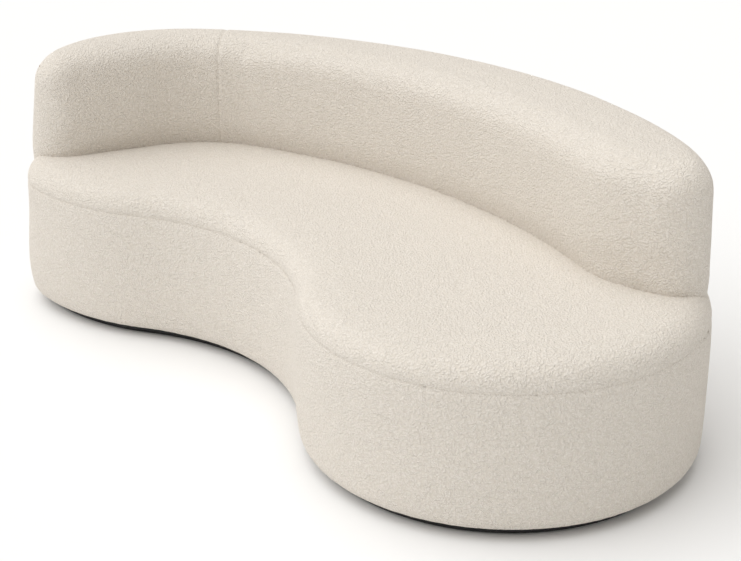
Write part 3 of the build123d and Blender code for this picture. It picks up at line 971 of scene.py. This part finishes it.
class SOFA_OT_back_upholstery(bpy.types.Operator):
    """Stuffs the back, and makes its cover in two lengths"""

    bl_idname = "sofa.back_upholstery"
    bl_label = "Back upholstery"

    def execute(self, context):
        settings = context.scene.sofa_upholstery
        body = soft_blank("back", BACK_SOLIDS, BACK_COVERS, settings.mesh_spacing)
        middle, normal = seam_plane(*BACK_COVERS)
        places = points_of(body.data)
        held = places[:, 2] < BACK_FOOT + HELD_SHARE * settings.mesh_spacing
        stuffed(body, held, np.full(len(places), settings.back_fullness), settings)
        open_foot(body, settings)
        move_points(body.data, arm_shaped(points_of(body.data), settings))
        land_foot(body, settings)
        subdivided(body)

        mesh = opened(body)
        sew(mesh, middle, normal, lambda place: (place - middle).length < ARM_SEAM_SPAN, settings)
        with_pile(closed(body, mesh), settings)

        mesh = opened(body)
        keep_seam_line("arm_seam_line", mesh)
        arm_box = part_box("back_cover_arm")
        arm_side = (arm_box[0] + arm_box[1]) / 2 - middle

        def on_arm(place):
            same_side = (place - middle).dot(normal) * arm_side.dot(normal) > 0
            return same_side and place.x < arm_box[1].x + REACH

        def on_back(place):
            return not on_arm(place)

        upholster(panel("arm_panel", mesh, on_arm), "back_cover_arm", settings)
        upholster(panel("back_panel", mesh, on_back), "back_cover_main", settings)
        mesh.free()
        bpy.data.meshes.remove(body.data)
        return {"FINISHED"}


class SOFA_OT_seam_stitches(bpy.types.Operator):
    """Sews the stitches in the valleys of the seams"""

    bl_idname = "sofa.seam_stitches"
    bl_label = "Seam stitches"

    def execute(self, context):
        trim = context.scene.sofa_trim
        lines = bmesh.new()
        for name in ("seat_seam_line", "arm_seam_line"):
            lines.from_mesh(bpy.data.meshes[name])
            bpy.data.meshes.remove(bpy.data.meshes[name])
        stitches = linked("seam_stitches", bpy.data.meshes.new("seam_stitches"))
        closed(stitches, lines)
        grown(stitches, stitch_tree(), {
            "Pitch": trim.stitch_pitch,
            "Length": trim.stitch_length,
            "Diameter": trim.thread_diameter,
            "Material": sewing_thread(),
        })
        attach(stitches, BODY)
        return {"FINISHED"}


def loose_parts(verts, edges):
    """Sets of vertices that some edges join."""
    beside = {vert: [] for vert in verts}
    for edge in edges:
        first, second = edge.verts
        beside[first].append(second)
        beside[second].append(first)
    left = set(verts)
    parts = []
    while left:
        ends = [left.pop()]
        part = set(ends)
        while ends:
            found = [vert for vert in beside[ends.pop()] if vert in left]
            left.difference_update(found)
            part.update(found)
            ends.extend(found)
        parts.append(part)
    return parts


def outer_wall(mesh):
    """Vertices of the plinth's outer wall, each with the level direction that it faces."""
    walls = [face for face in mesh.faces if abs(face.normal.z) < WALL_LEAN]
    verts = {vert for face in walls for vert in face.verts}
    edges = {edge for face in walls for edge in face.edges}
    outer = max(loose_parts(verts, edges), key=lambda part: max(vert.co.x for vert in part))
    faced = {}
    for vert in outer:
        sides = [face.normal for face in vert.link_faces if abs(face.normal.z) < WALL_LEAN]
        faced[vert] = sum(sides, Vector()).normalized()
    return faced


class SOFA_OT_plinth(bpy.types.Operator):
    """Makes the lacquered plinth with its softened edges"""

    bl_idname = "sofa.plinth"
    bl_label = "Plinth"

    def execute(self, context):
        trim = context.scene.sofa_trim
        mesh = merged_mesh(("plinth_ring",))
        for vert, outwards in outer_wall(mesh).items():
            vert.co += outwards * trim.plinth_reach
            vert.co.z = min(vert.co.z, UNDERSIDE - trim.plinth_play)
        rims = [edge for edge in mesh.edges if edge.is_manifold and edge.calc_face_angle() > PLINTH_RIM]
        bmesh.ops.bevel(
            mesh, geom=rims, offset=trim.plinth_edge, segments=RIM_STEPS, affect="EDGES", clamp_overlap=True)
        plinth = linked("plinth", bpy.data.meshes.new("plinth"))
        closed(plinth, mesh)
        plinth.data.shade_smooth()
        plinth.data.set_sharp_from_angle(angle=PLINTH_CREASE)
        give_material(plinth, finish("plinth_black"))
        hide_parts("plinth_ring")
        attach(plinth, BODY)
        return {"FINISHED"}


class SOFA_OT_tuck_staples(bpy.types.Operator):
    """Staples the tucked border to the underside of the base"""

    bl_idname = "sofa.tuck_staples"
    bl_label = "Tuck staples"

    def execute(self, context):
        trim = context.scene.sofa_trim
        line = merged_mesh(("plinth_ring",))
        outer = outer_wall(line)
        others = [vert for vert in line.verts if vert not in outer]
        bmesh.ops.delete(line, geom=others, context="VERTS")
        lower = [vert for vert in line.verts if vert.co.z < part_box("plinth_ring")[1].z - MERGE]
        bmesh.ops.delete(line, geom=lower, context="VERTS")
        panels = [cloth_face(name) for name in ("border_front_panel", "border_rear_panel")]
        for vert in line.verts:
            place = vert.co + outer[vert] * trim.staple_line
            place.z = 0.0
            hits = [cloth.ray_cast(place, UP, SEAM_HEIGHT)[0] for cloth in panels]
            lowest = min((hit for hit in hits if hit), key=lambda hit: hit.z)
            vert.co = lowest - UP * trim.staple_wire / 2
        staples = linked("tuck_staples", bpy.data.meshes.new("tuck_staples"))
        closed(staples, line)
        grown(staples, staple_tree(), {
            "Pitch": trim.staple_pitch,
            "Crown": trim.staple_crown,
            "Wire": trim.staple_wire,
            "Seed": trim.staple_seed,
            "Material": staple_wire(),
        })
        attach(staples, BODY)
        return {"FINISHED"}


class SOFA_OT_frame_finishes(bpy.types.Operator):
    """Gives the CAD pieces their finishes"""

    bl_idname = "sofa.frame_finishes"
    bl_label = "Frame finishes"

    def execute(self, context):
        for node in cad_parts.values():
            for place in node.material_slots:
                place.material = finish(place.material.name.split(".")[0])
        return {"FINISHED"}


class SOFA_OT_stage(bpy.types.Operator):
    """Lays the floor and sets the lights and the camera"""

    bl_idname = "sofa.stage"
    bl_label = "Stage"

    def execute(self, context):
        stage = context.scene.sofa_stage
        floor_mesh = bpy.data.meshes.new("floor")
        wide = FLOOR_HALF_WIDTH
        corners = [(-wide, -wide, 0), (wide, -wide, 0), (wide, wide, 0), (-wide, wide, 0)]
        floor_mesh.from_pydata(corners, [], [(0, 1, 2, 3)])
        floor = linked("floor", floor_mesh)
        pale = Finish("pale_floor", roughness=0.9)
        pale.shader.inputs["Base Color"].default_value = (*context.scene.sofa_colours.floor, 1.0)
        floor_mesh.materials.append(pale.material)

        key = bpy.data.lights.new("overhead", "SUN")
        key.energy = stage.key_strength
        key.angle = stage.key_spread
        lamp = linked("overhead", key)
        lamp.rotation_euler = facing(direction(stage.key_azimuth, stage.key_elevation))

        world = bpy.data.worlds.new("studio")
        world.use_nodes = True
        sky = world.node_tree.nodes["Background"]
        sky.inputs["Color"].default_value = (*stage.fill_colour, 1.0)
        sky.inputs["Strength"].default_value = stage.fill_strength
        context.scene.world = world
        context.scene.view_settings.view_transform = "Standard"

        data = bpy.data.cameras.new("camera")
        data.lens = stage.lens
        data.sensor_width = SENSOR_WIDTH
        camera = linked("camera", data)
        out = direction(stage.azimuth, stage.elevation)
        camera.location = Vector(stage.target) + out * stage.distance
        camera.rotation_euler = facing(out)
        context.scene.camera = camera
        return {"FINISHED"}


class SOFA_PT_sidebar(bpy.types.Panel):
    """Lists the sofa's pieces and its stage in the sidebar"""

    bl_idname = "SOFA_PT_sidebar"
    bl_label = "Curved sofa"
    bl_space_type = "VIEW_3D"
    bl_region_type = "UI"
    bl_category = "Sofa"

    def draw(self, context):
        for operator in OPERATORS:
            self.layout.operator(operator.bl_idname)
        for group in SETTINGS:
            settings = getattr(context.scene, group)
            for name in settings.__annotations__:
                self.layout.prop(settings, name)


SETTINGS = {
    "sofa_upholstery": SofaUpholstery,
    "sofa_trim": SofaTrim,
    "sofa_colours": SofaColours,
    "sofa_stage": SofaStage,
}
OPERATORS = (
    SOFA_OT_seat_upholstery,
    SOFA_OT_back_upholstery,
    SOFA_OT_back_foam,
    SOFA_OT_plinth,
    SOFA_OT_seam_stitches,
    SOFA_OT_tuck_staples,
    SOFA_OT_frame_finishes,
    SOFA_OT_stage,
)


def register():
    """Registers the classes, and gives the scene its settings."""
    for cls in (*SETTINGS.values(), *OPERATORS, SOFA_PT_sidebar):
        bpy.utils.register_class(cls)
    for name, group in SETTINGS.items():
        setattr(bpy.types.Scene, name, bpy.props.PointerProperty(type=group))


def unregister():
    """Takes back what register has done."""
    for name in SETTINGS:
        delattr(bpy.types.Scene, name)
    for cls in (SOFA_PT_sidebar, *reversed(OPERATORS), *reversed(SETTINGS.values())):
        bpy.utils.unregister_class(cls)


def main():
    """Makes every piece in order."""
    register()
    bpy.ops.sofa.seat_upholstery()
    bpy.ops.sofa.back_upholstery()
    bpy.ops.sofa.back_foam()
    bpy.ops.sofa.plinth()
    bpy.ops.sofa.seam_stitches()
    bpy.ops.sofa.tuck_staples()
    bpy.ops.sofa.frame_finishes()
    bpy.ops.sofa.stage()


if __name__ == "__main__":
    main()
